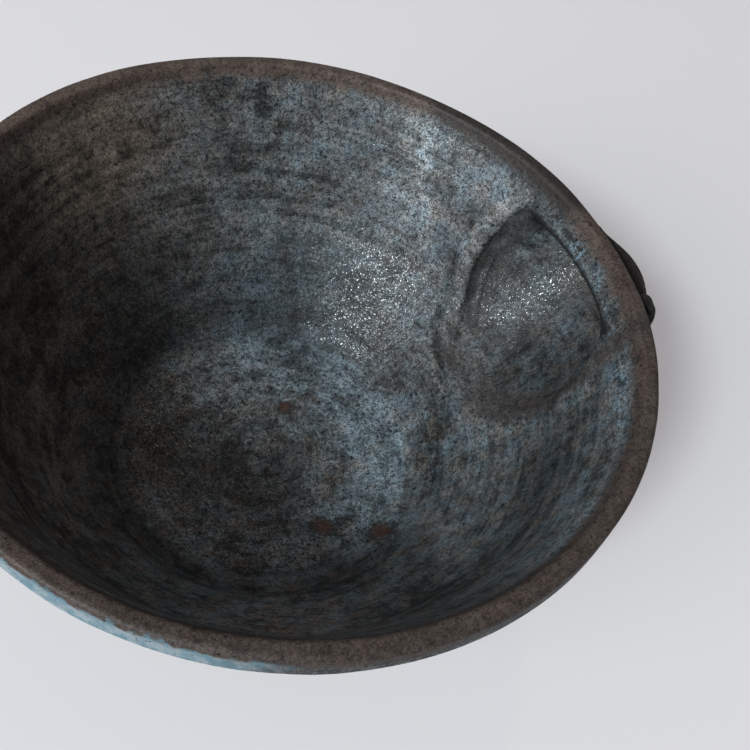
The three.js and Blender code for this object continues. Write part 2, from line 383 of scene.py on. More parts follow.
def channel_void(x, y, z):
    """The pouring channel from the hole to the mouth, V-shaped once it is past the wall."""
    outside = skin_table(np.hypot(x, y), z)
    lean = smooth_step(outside, -3.5, 0.5) * (1 - smooth_step(x, 77, 87))
    trough = trough_field(x, y, z, 0, 2.0 - TROUGH_LEAN * lean)
    return smooth_max(trough, shoulder_field(x, y, z), CHANNEL_ROUNDING)


def across_edge(x, y, z):
    """Millimetres from the hole's edge: above zero out on the wall, below it in the channel."""
    half, drop = HOLE_WIDTH / 2, HOLE_BOTTOM_DEPTH - HOLE_WIDEST_DEPTH
    side, low = y / half, (HEIGHT - z - HOLE_WIDEST_DEPTH) / drop
    size = np.hypot(side, low) + 1e-6
    slope = np.hypot(side / half, 0.8 * low / drop) / size
    out = np.maximum((size - 1) / (slope + 1e-6), 0)
    return out + np.minimum(hollow_table(np.hypot(x, y), z), 0)


def bump(value, middle, half_width):
    """One at the middle, smoothly down to nothing at the half width."""
    return np.square(np.maximum(1 - np.square((value - middle) / half_width), 0))


def edge_angle(y, z):
    """Where a place lies round the hole: 0 below it, a quarter turn on its +Y side."""
    return np.arctan2(y, HEIGHT - HOLE_WIDEST_DEPTH - z)


def seam_groove(x, y, z):
    """The smeared seam on the +Y side: a groove inside the edge and a second low ridge."""
    angle = edge_angle(y, z)
    end = 1 - smooth_step(angle, *GROOVE_END)
    across = across_edge(x, y, z) + 0.5 * unevenness(x / 3 + 1, y / 3, z / 3)
    groove = smooth_step(angle, *GROOVE_START) * bump(across, -1.0, 3.6)
    second_ridge = smooth_step(angle, *SECOND_RIDGE_START) * bump(across, -4.0, 1.8)
    return end * (0.5 * second_ridge - 1.3 * groove)


def inner_skin(x, y, z, under_rim):
    """The wall's inside and the channel's, with the soft edge where they meet."""
    void = channel_void(x, y, z)
    if under_rim:
        void = smooth_max(void, z - (HEIGHT - HOLE_TOP_DEPTH), HOLE_TOP_ROUNDING)
    skin = smooth_max(hollow_table(np.hypot(x, y), z), -void, cut_softness(y, z))
    return skin - seam_groove(x, y, z)


def surface_detail(x, y, z):
    """Throwing rings and the unevenness of a hand-made wall, drawn in towards the rim."""
    radius = np.hypot(x, y)
    slow = unevenness(x / 26 + 3, y / 26 + 7, z / 20)
    small = unevenness(x / 9 + 13, y / 9 + 5, z / 9)
    turn = np.arctan2(y, x)
    run = z * RUN_UP - radius * RUN_IN
    strength = (0.6 + 0.4 * unevenness(x / 30, y / 30, z / 12 + 4)) * smooth_step(radius, 3, 12)
    rings = np.sin(2 * np.pi * run / RING_SPACING + turn + 0.8 * slow)
    rings = rings + 0.5 * np.sin(2 * np.pi * run / FINE_RING_SPACING + turn)
    marks = bump(run + 0.6 * slow, SHOULDER_RING, 2.4) + bump(run + 0.5 * small, UPPER_RING, 1.8)
    dents = unevenness(x / 7 + 2, y / 7 + 9, z / 7)
    dents = dents * smooth_step(x, 56, 62) * smooth_step(HEIGHT - z, 8, 13)
    uneven = 0.22 * slow + 0.07 * small + 0.26 * dents + strength * (0.09 * rings + 0.11 * marks)
    return uneven - 0.32 * smooth_step(z, HEIGHT - 9, HEIGHT - 3) - 0.2 * smooth_step(radius, 70, 75)


def bowl_field(x, y, z, fine):
    """The thrown body with its hole, and a tongue that runs on under the spout's skin."""
    radius = np.hypot(x, y)
    wall, outside = bowl_table(radius, z), skin_table(radius, z)
    tongue = np.maximum(spout_form(x, y, z) + TONGUE_INSET, -outside - TONGUE_ROOT)
    inside = inner_skin(x, y, z, True) + ramp(outside + SHARED_SKIN)
    holed = np.maximum(np.minimum(wall, tongue), inside)
    field = np.where(x > HOLE_START_X, holed, wall)
    return field - surface_detail(x, y, z) if fine else field


def spout_field(x, y, z, fine):
    """The trough outside the wall, whose root dives into the wall."""
    outside = skin_table(np.hypot(x, y), z)
    inside = inner_skin(x, y, z, False) + ramp(SHARED_SKIN - outside)
    field = smooth_max(spout_form(x, y, z), inside, SPOUT_INSIDE_ROUNDING)
    knob = np.sqrt((x - KNOB[0]) ** 2 + (y - KNOB[1]) ** 2 + (z - KNOB[2]) ** 2) - KNOB_RADIUS
    field = np.maximum(smooth_min(field, knob, KNOB_ROUNDING), -outside - SPOUT_ROOT)
    return field - surface_detail(x, y, z) if fine else field


def coil_field(x, y, z, fine):
    """Clay worked into the outside joint: a soft fillet between wall and spout."""
    wall = skin_table(np.hypot(x, y), z)
    form = spout_form(x, y, z)
    skin = smooth_min(wall, form, COIL_FILLET) + COIL_INSET
    skin = skin + ramp(np.maximum(wall, form) - COIL_REACH)
    skin = skin + ramp(-wall - COIL_ROOT, 1.0) + ramp(-form - COIL_ROOT, 1.0)
    skin = skin + ramp(z - (HEIGHT - COIL_TOP_DEPTH), 0.4) + ramp(COIL_START_X - x, 0.4)
    field = smooth_max(skin, COIL_CHANNEL_MARGIN - trough_field(x, y, z, 0), 1.0)
    return field - surface_detail(x, y, z) if fine else field


def roll_field(x, y, z, fine):
    """The ridge of clay smoothed along the hole's inner edge."""
    wall = inner_skin(x, y, z, True)
    if fine:
        wall = wall - surface_detail(x, y, z)
    across, angle = across_edge(x, y, z), edge_angle(y, z)
    window = smooth_step(angle, *RIDGE_START) * (1 - smooth_step(angle, *RIDGE_END))
    height = 0.5 + 0.5 * smooth_step(angle, math.radians(-40), math.radians(10))
    height = RIDGE_HEIGHT * height * (1 + 0.3 * unevenness(x / 6, y / 6 + 5, z / 6))
    half_width = np.where(across > RIDGE_MARGIN, RIDGE_OUTSIDE, RIDGE_INSIDE)
    lift = height * window * bump(across, RIDGE_MARGIN, half_width)
    sink = 0.03 + ramp(np.abs(across - RIDGE_MARGIN) - half_width, 0.5)
    sink = sink + 2.0 * np.square(np.maximum(0.25 - window, 0) / 0.25)
    return np.maximum(wall - lift + sink, -wall - ROLL_ROOT)


def net_surface(field, axes):
    """Vertices and quads where a field on a net of x, y and z crosses zero."""
    cells = [n - 1 for n in field.shape]
    keys, points, quads = [], [], []
    negative = field < 0
    for axis in range(3):
        low = [slice(None)] * 3
        high = [slice(None)] * 3
        low[axis], high[axis] = slice(0, -1), slice(1, None)
        index = np.nonzero(negative[tuple(low)] != negative[tuple(high)])
        after = [i.copy() for i in index]
        after[axis] += 1
        a, b = field[tuple(index)], field[tuple(after)]
        t = a / (a - b)
        place = np.stack([axes[k][index[k]] for k in range(3)], 1).astype(float)
        place[:, axis] += t * (axes[axis][after[axis]] - axes[axis][index[axis]])
        u, v = (axis + 1) % 3, (axis + 2) % 3
        corners = []
        for du, dv in ((0, 0), (-1, 0), (-1, -1), (0, -1)):
            cell = [i.copy() for i in index]
            cell[u] += du
            cell[v] += dv
            ok = (cell[u] >= 0) & (cell[v] >= 0) & (cell[u] < cells[u]) & (cell[v] < cells[v])
            key = (cell[0] * cells[1] + cell[1]) * cells[2] + cell[2]
            keys.append(key[ok])
            points.append(place[ok])
            corners.append(np.where(ok, key, -1))
        corners = np.stack(corners, 1)
        whole = (corners >= 0).all(1)
        corners, outward = corners[whole], (a < 0)[whole]
        corners[~outward] = corners[~outward][:, ::-1]
        quads.append(corners)
    keys, points, quads = np.concatenate(keys), np.concatenate(points), np.concatenate(quads)
    used, slot = np.unique(keys, return_inverse=True)
    count = np.bincount(slot)
    vertices = np.stack([np.bincount(slot, points[:, k]) / count for k in range(3)], 1)
    return vertices, np.searchsorted(used, quads)


def slope_of(function, points, step=0.12):
    parts = []
    for k in range(3):
        ahead, back = points.copy(), points.copy()
        ahead[:, k] += step
        back[:, k] -= step
        parts.append((function(*ahead.T) - function(*back.T)) / (2 * step))
    return np.stack(parts, 1)


def settle(function, points, rounds, furthest):
    """Moves points along the slope on to the field's zero."""
    for _ in range(rounds):
        slope = slope_of(function, points)
        size = (slope * slope).sum(1) + 1e-4
        move = -(function(*points.T) / size)[:, None] * slope
        length = np.linalg.norm(move, axis=1, keepdims=True) + 1e-9
        points = points + move * np.minimum(1, furthest / length)
    return points


def relax(points, quads, normals, strength):
    """Evens out the net without leaving the surface."""
    total = np.zeros_like(points)
    count = np.zeros(len(points))
    for k in range(4):
        a, b = quads[:, k], quads[:, (k + 1) % 4]
        for i, j in ((a, b), (b, a)):
            for axis in range(3):
                total[:, axis] += np.bincount(i, points[j, axis], len(points))
            count += np.bincount(i, minlength=len(points))
    move = total / count[:, None] - points
    move -= (move * normals).sum(1, keepdims=True) * normals
    return points + strength * move


def graded(low, high, coarse, fine, fine_low, fine_high):
    """Net lines that lie closer together between two places."""
    lines, x = [low], low
    while x < high:
        x += fine if fine_low <= x < fine_high else coarse
        lines.append(x)
    return np.array(lines)


def even_net(pitch, *spans):
    """Net lines of one pitch in x, y and z, each over its span."""
    return [graded(low, high, pitch, pitch, 0, 0) for low, high in spans]


def build_surface(function, axes):
    """Mesh points in millimetres, quads and normals of a field's zero surface."""
    x, y, z = axes[0][:, None, None], axes[1][None, :, None], axes[2][None, None, :]
    x, y, z = np.broadcast_arrays(x, y, z)
    field = function(x, y, z, False)
    points, quads = net_surface(field, axes)

    def fine(px, py, pz):
        return function(px, py, pz, True)

    pitch = min(np.diff(axis).min() for axis in axes)
    points = settle(fine, points, 2, pitch)
    for _ in range(2):
        slope = slope_of(fine, points)
        normals = slope / (np.linalg.norm(slope, axis=1, keepdims=True) + 1e-9)
        points = relax(points, quads, normals, 0.5)
        points = settle(fine, points, 1, pitch)
    slope = slope_of(fine, points)
    normals = slope / (np.linalg.norm(slope, axis=1, keepdims=True) + 1e-9)
    return points, quads, normals


def add_mesh(name, points, quads, normals, material, node):
    """A piece in the row frame, from points about the bowl's axis."""
    mesh = bpy.data.meshes.new(name)
    placed = (points + np.array([AXIS_X, 0, 0])) * MM
    mesh.vertices.add(len(placed))
    mesh.vertices.foreach_set("co", placed.astype(np.float32).ravel())
    mesh.loops.add(quads.size)
    mesh.loops.foreach_set("vertex_index", quads.astype(np.int32).ravel())
    mesh.polygons.add(len(quads))
    mesh.polygons.foreach_set("loop_start", np.arange(0, quads.size, 4, dtype=np.int32))
    mesh.update()
    mesh.validate()
    mesh.polygons.foreach_set("use_smooth", np.ones(len(mesh.polygons), bool))
    if len(mesh.vertices) == len(normals):
        mesh.normals_split_custom_set_from_vertices(normals.astype(np.float32))
    piece = bpy.data.objects.new(name, mesh)
    bpy.context.scene.collection.objects.link(piece)
    mesh.materials.append(material)
    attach(piece, "root")
    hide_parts(node)


def turned_mesh(outline, steps):
    """Points and quads of a closed outline turned about the axis."""
    angles = np.linspace(0, 2 * np.pi, steps, endpoint=False)
    rings = [
        np.stack([outline[:, 0] * c, outline[:, 0] * s, outline[:, 1]], 1)
        for c, s in zip(np.cos(angles), np.sin(angles))
    ]
    count = len(outline)
    i, j = np.meshgrid(np.arange(steps), np.arange(count), indexing="ij")
    i, j = i.ravel(), j.ravel()
    here, there = i * count, ((i + 1) % steps) * count
    following = (j + 1) % count
    quads = np.stack([here + j, there + j, there + following, here + following], 1)
    return np.concatenate(rings), quads


# Materials
class Nodes:
    """A short way to wire shader nodes."""

    def __init__(self, name):
        self.material = bpy.data.materials.new(name)
        self.material.use_nodes = True
        self.tree = self.material.node_tree
        self.shader = self.tree.nodes["Principled BSDF"]
        place = self.add("ShaderNodeMapping")
        self.link(self.add("ShaderNodeTexCoord").outputs["Object"], place.inputs["Vector"])
        place.inputs["Scale"].default_value = (1 / MM, 1 / MM, 1 / MM)
        place.inputs["Location"].default_value = (-AXIS_X, 0, 0)
        self.place = place.outputs["Vector"]

    def add(self, kind, **settings):
        node = self.tree.nodes.new(kind)
        for key, value in settings.items():
            setattr(node, key, value)
        return node

    def link(self, value, socket):
        if isinstance(value, bpy.types.NodeSocket):
            self.tree.links.new(value, socket)
        else:
            socket.default_value = value

    def noise(self, size, detail=2.0, rough=0.5, shift=(0, 0, 0), place=None):
        """Values about 0.5 whose grains are about size millimetres wide."""
        mapping = self.add("ShaderNodeMapping")
        self.link(place or self.place, mapping.inputs["Vector"])
        mapping.inputs["Location"].default_value = shift
        noise = self.add("ShaderNodeTexNoise")
        self.link(mapping.outputs[0], noise.inputs["Vector"])
        noise.inputs["Scale"].default_value = 1 / size
        noise.inputs["Detail"].default_value = detail
        noise.inputs["Roughness"].default_value = rough
        return noise.outputs["Fac"]

    def split(self, vector):
        node = self.add("ShaderNodeSeparateXYZ")
        self.link(vector, node.inputs[0])
        return node.outputs

    def join(self, *parts):
        node = self.add("ShaderNodeCombineXYZ")
        for part, socket in zip(parts, node.inputs):
            self.link(part, socket)
        return node.outputs[0]

    def total(self, *terms):
        """Sum of values, each given with its weight."""
        result = 0.0
        for value, weight in terms:
            node = self.add("ShaderNodeMath", operation="MULTIPLY_ADD")
            self.link(value, node.inputs[0])
            node.inputs[1].default_value = weight
            self.link(result, node.inputs[2])
            result = node.outputs[0]
        return result

    def patch(self, centre, radius, softness=0.6, ragged=None):
        """One inside a ball about a place on the bowl, falling to nothing at its radius."""
        node = self.add("ShaderNodeVectorMath", operation="DISTANCE")
        self.link(self.place, node.inputs[0])
        node.inputs[1].default_value = centre
        away = node.outputs["Value"]
        if ragged is not None:
            away = self.total((away, 1.0), (ragged, 1.2 * radius), (1.0, -0.6 * radius))
        return self.spread(away, radius, radius * (1 - softness))

    def spread(self, value, low, high, out_low=0.0, out_high=1.0, smooth=True):
        """Carries low to out_low and high to out_high."""
        node = self.add("ShaderNodeMapRange")
        node.interpolation_type = "SMOOTHSTEP" if smooth else "LINEAR"
        self.link(value, node.inputs["Value"])
        for name, number in (
            ("From Min", low), ("From Max", high), ("To Min", out_low), ("To Max", out_high),
        ):
            node.inputs[name].default_value = number
        return node.outputs["Result"]

    def maths(self, operation, *values):
        node = self.add("ShaderNodeMath", operation=operation)
        for value, socket in zip(values, node.inputs):
            self.link(value, socket)
        return node.outputs[0]

    def times(self, first, *others):
        """Product of values."""
        for value in others:
            first = self.maths("MULTIPLY", first, value)
        return first

    def mix(self, part, first, second):
        node = self.add("ShaderNodeMix", data_type="RGBA")
        self.link(part, node.inputs["Factor"])
        for value, socket in ((first, node.inputs[6]), (second, node.inputs[7])):
            self.link(value if isinstance(value, bpy.types.NodeSocket) else (*value, 1), socket)
        return node.outputs[2]

    def scaled(self, color, value):
        node = self.add("ShaderNodeVectorMath", operation="SCALE")
        self.link(color, node.inputs[0])
        self.link(value, node.inputs["Scale"])
        return node.outputs["Vector"]

    def bump(self, height, distance_mm, strength=1.0):
        node = self.add("ShaderNodeBump")
        self.link(height, node.inputs["Height"])
        node.inputs["Distance"].default_value = distance_mm * MM
        node.inputs["Strength"].default_value = strength
        return node.outputs["Normal"]


# Colours of the bare clay and of the glaze, some of them painted light and shade
CLAY_DARK, CLAY_PALE = (0.030, 0.021, 0.017), (0.058, 0.044, 0.036)
PALE_GRIT, DARK_GRIT = (0.14, 0.115, 0.095), (0.010, 0.008, 0.007)
BLUE_TINT, GREY_TINT, BROWN_TINT = (0.80, 1.02, 1.16), (1.0, 1.0, 0.99), (1.24, 0.98, 0.78)
BLUE_FLECK_AND_HIGHLIGHT = (0.160, 0.250, 0.300)
LIP_DARK, LIP_PALE = (0.024, 0.0165, 0.0132), (0.077, 0.0545, 0.0440)
POURING_EDGE_AND_SHADE, KNOB_PAINTED_LIGHT = (0.019, 0.0145, 0.0125), (0.150, 0.125, 0.118)
HOLE_EDGE_DARK, HOLE_EDGE_PALE = (0.015, 0.0122, 0.0115), (0.046, 0.038, 0.036)
GROOVE_SHADE, ROOF_SHADE, DEEP_PIT = (0.010, 0.009, 0.009), (0.006, 0.0055, 0.0055), (0.002, 0.005, 0.009)
RUN_BLUE, RUN_PALE = (0.100, 0.175, 0.215), (0.210, 0.250, 0.270)
SPOT_HALO, IRON_SPOT, SMALL_PIT = (0.010, 0.009, 0.009), (0.045, 0.020, 0.013), (0.004, 0.004, 0.005)

# Places inside the bowl where the glaze is painted lighter or darker, partly thicker or thinner crystals
# and partly painted light and shade: azimuth, depth, size and gain
CRYSTAL_AND_SHADE_PLACES = (
    # The brightest place, high on the wall beside the spout, and the lightened near wall are painted light;
    # the darkened places on the lower walls are painted shade
    (-2, 61, 18, 0.30), (32, 11, 30, 1.75), (114, 14, 30, 0.44), (-100, 42, 30, 0.60),
    (112, 48, 30, -0.52), (65, 51, 30, -0.46), (163, 62, 28, -0.30), (-36, 26, 24, -0.52),
    (-56, 25, 20, -0.32), (25, 43, 18, -0.15),
)

# Iron spots on the floor: place and size
IRON_SPOTS = ((7, -23, 16), 2.8), ((20, -29, 18), 3.2), ((9, 13, 15), 1.8)

# The lean of the wall near the rim, in radius for each millimetre of height, and the deep pit's place
WALL_LEAN = 0.41
DEEP_PIT_PLACE = (61.5, 20.8, 53.0)


def clay_material(name):
    """Bare dark stoneware with pale and dark grit."""
    n = Nodes(name)
    grit, blotch = n.noise(0.5, 2.0, 0.6), n.noise(4.0, 3.0, 0.6, (2, 4, 1))
    color = n.mix(n.spread(blotch, 0.35, 0.65), CLAY_DARK, CLAY_PALE)
    color = n.mix(n.spread(grit, 0.60, 0.68, 0.0, 0.7), color, PALE_GRIT)
    color = n.mix(n.spread(grit, 0.38, 0.30, 0.0, 0.8), color, DARK_GRIT)
    n.link(color, n.shader.inputs["Base Color"])
    n.shader.inputs["Roughness"].default_value = 0.85
    n.link(n.bump(n.total((grit, 0.4), (blotch, 0.6)), 0.25), n.shader.inputs["Normal"])
    return n.material


def inside_at(azimuth, depth):
    """A place on the bowl's inner wall, for naming where a patch of glaze lies."""
    z = HEIGHT - depth
    radius = np.interp(z, WALL_INSIDE[:, 1], WALL_INSIDE[:, 0])
    turn = math.radians(azimuth)
    return radius * math.cos(turn), radius * math.sin(turn), z


def glaze_material(name, spout=False):
    """Dark iron glaze, semi-matte, grained with blue-grey crystals and browner at the lip."""
    n = Nodes(name)
    x, y, z = n.split(n.place)
    radius = n.maths("SQRT", n.maths("ADD", n.times(x, x), n.times(y, y)))
    run = n.maths("ADD", radius, z)
    round_off = n.total((radius, 1.0), (1.0, 8.0))
    across, along = n.maths("DIVIDE", x, round_off), n.maths("DIVIDE", y, round_off)

    fine = n.noise(0.36, 1.0, 0.8)
    speck = n.noise(0.95, 2.0, 0.7, (3, 1, 7))
    blotch = n.noise(3.0, 3.0, 0.62, (1, 5, 2))
    cloud = n.noise(10, 2.0, 0.6, (9, 2, 4))
    hue = n.noise(4.6, 2.0, 0.6, (4, 8, 1))
    ring_place = n.join(n.times(across, 5), n.times(along, 5), run)
    rings = n.noise(2.6, 2.0, 0.6, (0, 0, 3), ring_place)
    streak_place = n.join(n.times(x, 0.16), y, z)
    streaks = n.noise(0.75, 2.0, 0.7, (5, 2, 6), streak_place)
    in_trough = n.spread(n.total((x, 1.0), (z, -WALL_LEAN)), 38, 45)

    # How bright the glaze is, place by place: partly where the crystals lie thicker or thinner, partly
    # painted light and shade
    # Painted shade: darker on the wall at -X and +Y, which faces away from the lights; the same mask also
    # makes that side browner and less crisp
    shade_side = n.spread(n.total((x, -0.9 / RIM_RADIUS), (y, 0.44 / RIM_RADIUS)), 0.1, 1.0)
    floor_ring = n.times(n.spread(radius, 14, 25), n.spread(radius, 42, 31))
    floor_ring = n.times(floor_ring, n.spread(x, -25, 25, 0.2, 1.0))
    gain = n.total(
        (1.0, 1.0),
        (floor_ring, 0.46),
        (n.spread(radius, 19, 9), -0.25),
        (n.times(n.spread(radius, 33, 38), n.spread(radius, 46, 40)), -0.22),
        *((n.patch(inside_at(turn, depth), size, 0.9), more) for turn, depth, size, more in CRYSTAL_AND_SHADE_PLACES),
        # Painted shade in the trough
        (in_trough, -0.40),
        (shade_side, -0.56),
        (n.patch(inside_at(83, 20), 8, 0.8, blotch), -0.40),
        (n.patch(inside_at(79, 7), 2.8, 0.5, speck), -0.75),
        (n.patch(inside_at(78, 11), 3.2, 0.6, speck), -0.70),
    )
    gain = n.maths("MAXIMUM", gain, 0.12)
    level = n.spread(n.total((blotch, 1.0), (cloud, 0.8), (rings, 0.7)), 1.03, 1.47, 0.022, 0.092, False)
    grain = n.spread(n.total((fine, 1.0), (speck, 0.9), (streaks, 0.1)), 0.78, 1.22, 0.15, 1.85, False)
    streaked = n.spread(n.total((streaks, 1.0), (fine, 0.5)), 0.57, 0.93, 0.25, 1.75, False)
    more_streaked = n.times(in_trough, n.total((streaked, 0.6), (grain, -0.6)))
    grain = n.total((grain, 1.0), (more_streaked, 1.0))
    crisp_side = n.spread(n.total((y, 1.0), (x, 0.3)), -30, 15, 0.66, 1.0)
    crispness = n.maths("MAXIMUM", crisp_side, n.spread(radius, 38, 32))
    crispness = n.times(crispness, n.total((1.0, 1.0), (shade_side, -0.38)))
    grain = n.total((1.0, 1.0), (n.times(crispness, n.total((grain, 1.0), (1.0, -1.0))), 1.0))
    value = n.times(n.times(level, grain), gain)

    # The hue wanders from blue-grey to brown, browner on the side away from the spout
    wander = n.times(n.total((hue, 2.6), (1.0, -1.3)), n.spread(y, -20, 20, 1.0, 0.55))
    brownness = n.total(
        (1.0, 0.75), (wander, 1.0), (cloud, -0.8), (shade_side, 1.1), (floor_ring, -0.35),
        (n.patch(inside_at(116, 12), 26, 0.9), 0.6), (n.patch(inside_at(65, 51), 26, 0.9), -0.35),
        (n.patch(inside_at(-100, 30), 30, 0.9), 0.35),
    )
    tint = n.mix(n.spread(brownness, 0.0, 0.55, smooth=False), BLUE_TINT, GREY_TINT)
    tint = n.mix(n.spread(brownness, 0.55, 1.4, smooth=False), tint, BROWN_TINT)
    color = n.scaled(tint, value)

    # Bright blue flecks lie under the brown band of the lip on the spout's side, and the same blue paints a
    # pale highlight high on the wall beside the hole
    wavy_height = n.total((z, 1.0), (blotch, 6.0), (1.0, -3.0))
    fringe_and_highlight = n.times(
        n.spread(wavy_height, HEIGHT - 10, HEIGHT - 7), n.spread(wavy_height, HEIGHT - 3.2, HEIGHT - 6)
    )
    flecks = n.spread(n.total((speck, 0.7), (fine, 0.3)), 0.50, 0.62)
    fringe_and_highlight = n.times(fringe_and_highlight, n.spread(cloud, 0.45, 0.58))
    fringe_and_highlight = n.times(fringe_and_highlight, n.spread(x, 5, 45, 0.0, 0.5))
    over_hole = n.maths("MAXIMUM", n.patch(inside_at(12, 6), 6, 0.8), n.patch(inside_at(3, 6.5), 5, 0.9))
    # A painted highlight: a pale-blue patch that stands in for a reflection of the sky
    painted_sky_highlight = n.patch(inside_at(23, 5), 7, 0.8, speck)
    fringe_and_highlight = n.maths("MAXIMUM", fringe_and_highlight, n.maths("MAXIMUM", over_hole, painted_sky_highlight))
    fringe_and_highlight = n.times(fringe_and_highlight, flecks)
    color = n.mix(n.times(fringe_and_highlight, 0.75), color, BLUE_FLECK_AND_HIGHLIGHT)

    # The lip is browner, where the glaze runs thin
    lip = n.spread(wavy_height, HEIGHT - 5.0, HEIGHT - 2.0)
    lip_tone = n.spread(n.total((fine, 0.4), (speck, 0.3), (blotch, 0.3)), 0.36, 0.66)
    lip_color = n.mix(lip_tone, LIP_DARK, LIP_PALE)
    # Painted light and shade: the lip is painted lighter on the far side (+Y) and darker on the near side
    lip_color = n.scaled(lip_color, n.spread(y, -60, 60, 0.76, 1.14))
    color = n.mix(n.times(lip, 0.92), color, lip_color)
    if spout:
        # The spout's top and nose are painted darker: brown-black glaze there, and painted shade where the
        # rim shades the spout
        pouring_edge_and_shade = n.maths("MAXIMUM", n.spread(x, 76, 82), n.spread(z, HEIGHT - 14, HEIGHT - 10))
        color = n.mix(n.times(pouring_edge_and_shade, 0.92), color, POURING_EDGE_AND_SHADE)
        # The knob is painted pale: painted light that stands in for the light it catches
        color = n.mix(n.patch(KNOB, 5.0, 0.5), color, KNOB_PAINTED_LIGHT)

    # The same brown shows along the edge of the hole, where the glaze breaks over the ridge; it is stronger
    # along the near side, where it is also painted shade of the rolled-over edge
    side, low = n.total((y, 2 / HOLE_WIDTH)), n.total((z, -1.0), (1.0, HEIGHT - HOLE_WIDEST_DEPTH))
    low = n.total((n.maths("MAXIMUM", low, 0.0), 1 / (HOLE_BOTTOM_DEPTH - HOLE_WIDEST_DEPTH)))
    round_hole = n.maths("SQRT", n.maths("ADD", n.times(side, side), n.times(low, low)))
    round_hole = n.total((round_hole, 1.0), (blotch, 0.12), (1.0, -0.06))
    hole_edge_brown_and_shade = n.times(n.spread(round_hole, 0.90, 1.02), n.spread(round_hole, 1.30, 1.12))
    hole_edge_brown_and_shade = n.times(hole_edge_brown_and_shade, n.spread(x, 40, 50))
    hole_edge_brown_and_shade = n.times(hole_edge_brown_and_shade, n.spread(y, 14, -10, 0.25, 0.80))
    color = n.mix(hole_edge_brown_and_shade, color, n.mix(lip_tone, HOLE_EDGE_DARK, HOLE_EDGE_PALE))

    # Painted shade: under the rim the hole's upper edge is painted dark, where the glaze also runs thin,
    # and so is the groove beside it
    rim_line = WALL_LEAN * HEIGHT - (RIM_RADIUS - LIP_THICKNESS)
    outward = n.total((radius, 1.0), (z, -WALL_LEAN), (1.0, rim_line))
    roof_shade = n.times(n.spread(z, HEIGHT - 6.4, HEIGHT - 7.9), n.spread(z, HEIGHT - 12, HEIGHT - 10))
    roof_shade = n.times(roof_shade, n.spread(n.maths("ABSOLUTE", side), 1.0, 0.82))
    roof_shade = n.times(roof_shade, n.spread(x, 50, 58))
    # Painted shade in the groove beside the hole's upper edge
    groove = n.times(n.spread(outward, -1.2, 0.8), n.spread(outward, 5.5, 3.4))
    groove = n.times(n.times(groove, n.spread(y, 8, 15)), n.spread(x, 50, 54))
    color = n.mix(n.times(groove, 0.76), color, GROOVE_SHADE)
    color = n.mix(n.times(roof_shade, 0.93), color, ROOF_SHADE)
    pitted = n.times(n.patch(DEEP_PIT_PLACE, 4.5, 0.7), n.spread(speck, 0.54, 0.60))
    color = n.mix(pitted, color, DEEP_PIT)

    # Glaze that ran off the lip lies pale and blue on the outside, on the side away from the spout
    outer = n.spread(outward, 3.3, 4.1)
    run_side = n.total((x, -0.77 / RIM_RADIUS), (y, -0.64 / RIM_RADIUS), (cloud, 0.25))
    run_side = n.spread(run_side, 0.93, 1.06)
    run_height = n.spread(n.total((z, 1.0), (blotch, 5.0), (1.0, -2.5)), HEIGHT - 1.2, HEIGHT - 2.6)
    pale = n.times(n.times(outer, run_side), run_height)
    pale_color = n.mix(n.spread(blotch, 0.40, 0.62), RUN_BLUE, RUN_PALE)
    color = n.mix(n.times(pale, 0.9), color, pale_color)

    # Red-brown spots on the floor, where an iron grain has burnt through, and dark pits all over
    for centre, size in IRON_SPOTS:
        halo = n.patch(centre, size * 1.8, 0.6, speck)
        color = n.mix(n.times(halo, 0.7), color, SPOT_HALO)
        color = n.mix(n.times(n.patch(centre, size, 0.6, speck), 0.8), color, IRON_SPOT)
    pit = n.spread(speck, 0.37, 0.29)
    color = n.mix(n.times(pit, 0.85), color, SMALL_PIT)
    n.link(color, n.shader.inputs["Base Color"])

    # Grains of smooth glass sparkle in a semi-matte skin
    sparkle = n.spread(n.total((fine, 0.7), (speck, 0.3)), 0.565, 0.65)
    sparkle = n.times(sparkle, n.total((1.0, 1.0), (lip, -0.85)))
    n.link(n.spread(sparkle, 0, 1, 0.52, 0.20, False), n.shader.inputs["Roughness"])
    n.link(n.spread(sparkle, 0, 1, 0.17, 0.80, False), n.shader.inputs["Specular IOR Level"])
    n.shader.inputs["IOR"].default_value = 1.5
    height = n.total((fine, 0.20), (speck, 0.35), (blotch, 0.8), (streaks, 0.25))
    n.link(n.bump(height, 0.28, 0.9), n.shader.inputs["Normal"])
    return n.material


glaze = glaze_material("bowl_glaze")
spout_glaze = glaze_material("spout_glaze", spout=True)
clay = clay_material("foot_clay")

# The pieces, each from its field on a net of its own; the bowl's net is finer about the hole
bowl_net = [
    graded(-79, 91, 1.0, 0.55, 44, 92),
    graded(-79, 79, 1.0, 0.55, -30, 30),
    graded(4.2, 80, 0.8, 0.6, 30, 80),
]
spout_net = even_net(0.5, (47, 91), (-30, 30), (24, 73))
coil_net = even_net(0.6, (38, 91), (-42, 42), (12, 76))
roll_net = even_net(0.45, (38, 78), (-36, 36), (20, 77))
for name, field, net, material, slot in (
    ("bowl_body", bowl_field, bowl_net, glaze, "bowl_glaze"),
    ("spout", spout_field, spout_net, spout_glaze, "spout_glaze"),
    ("spout_seam_coil", coil_field, coil_net, spout_glaze, "spout_glaze"),
    ("inner_seam_roll", roll_field, roll_net, glaze, "bowl_glaze"),
):
    points, quads, normals = build_surface(field, net)
    add_mesh(name, points, quads, normals, material, name)

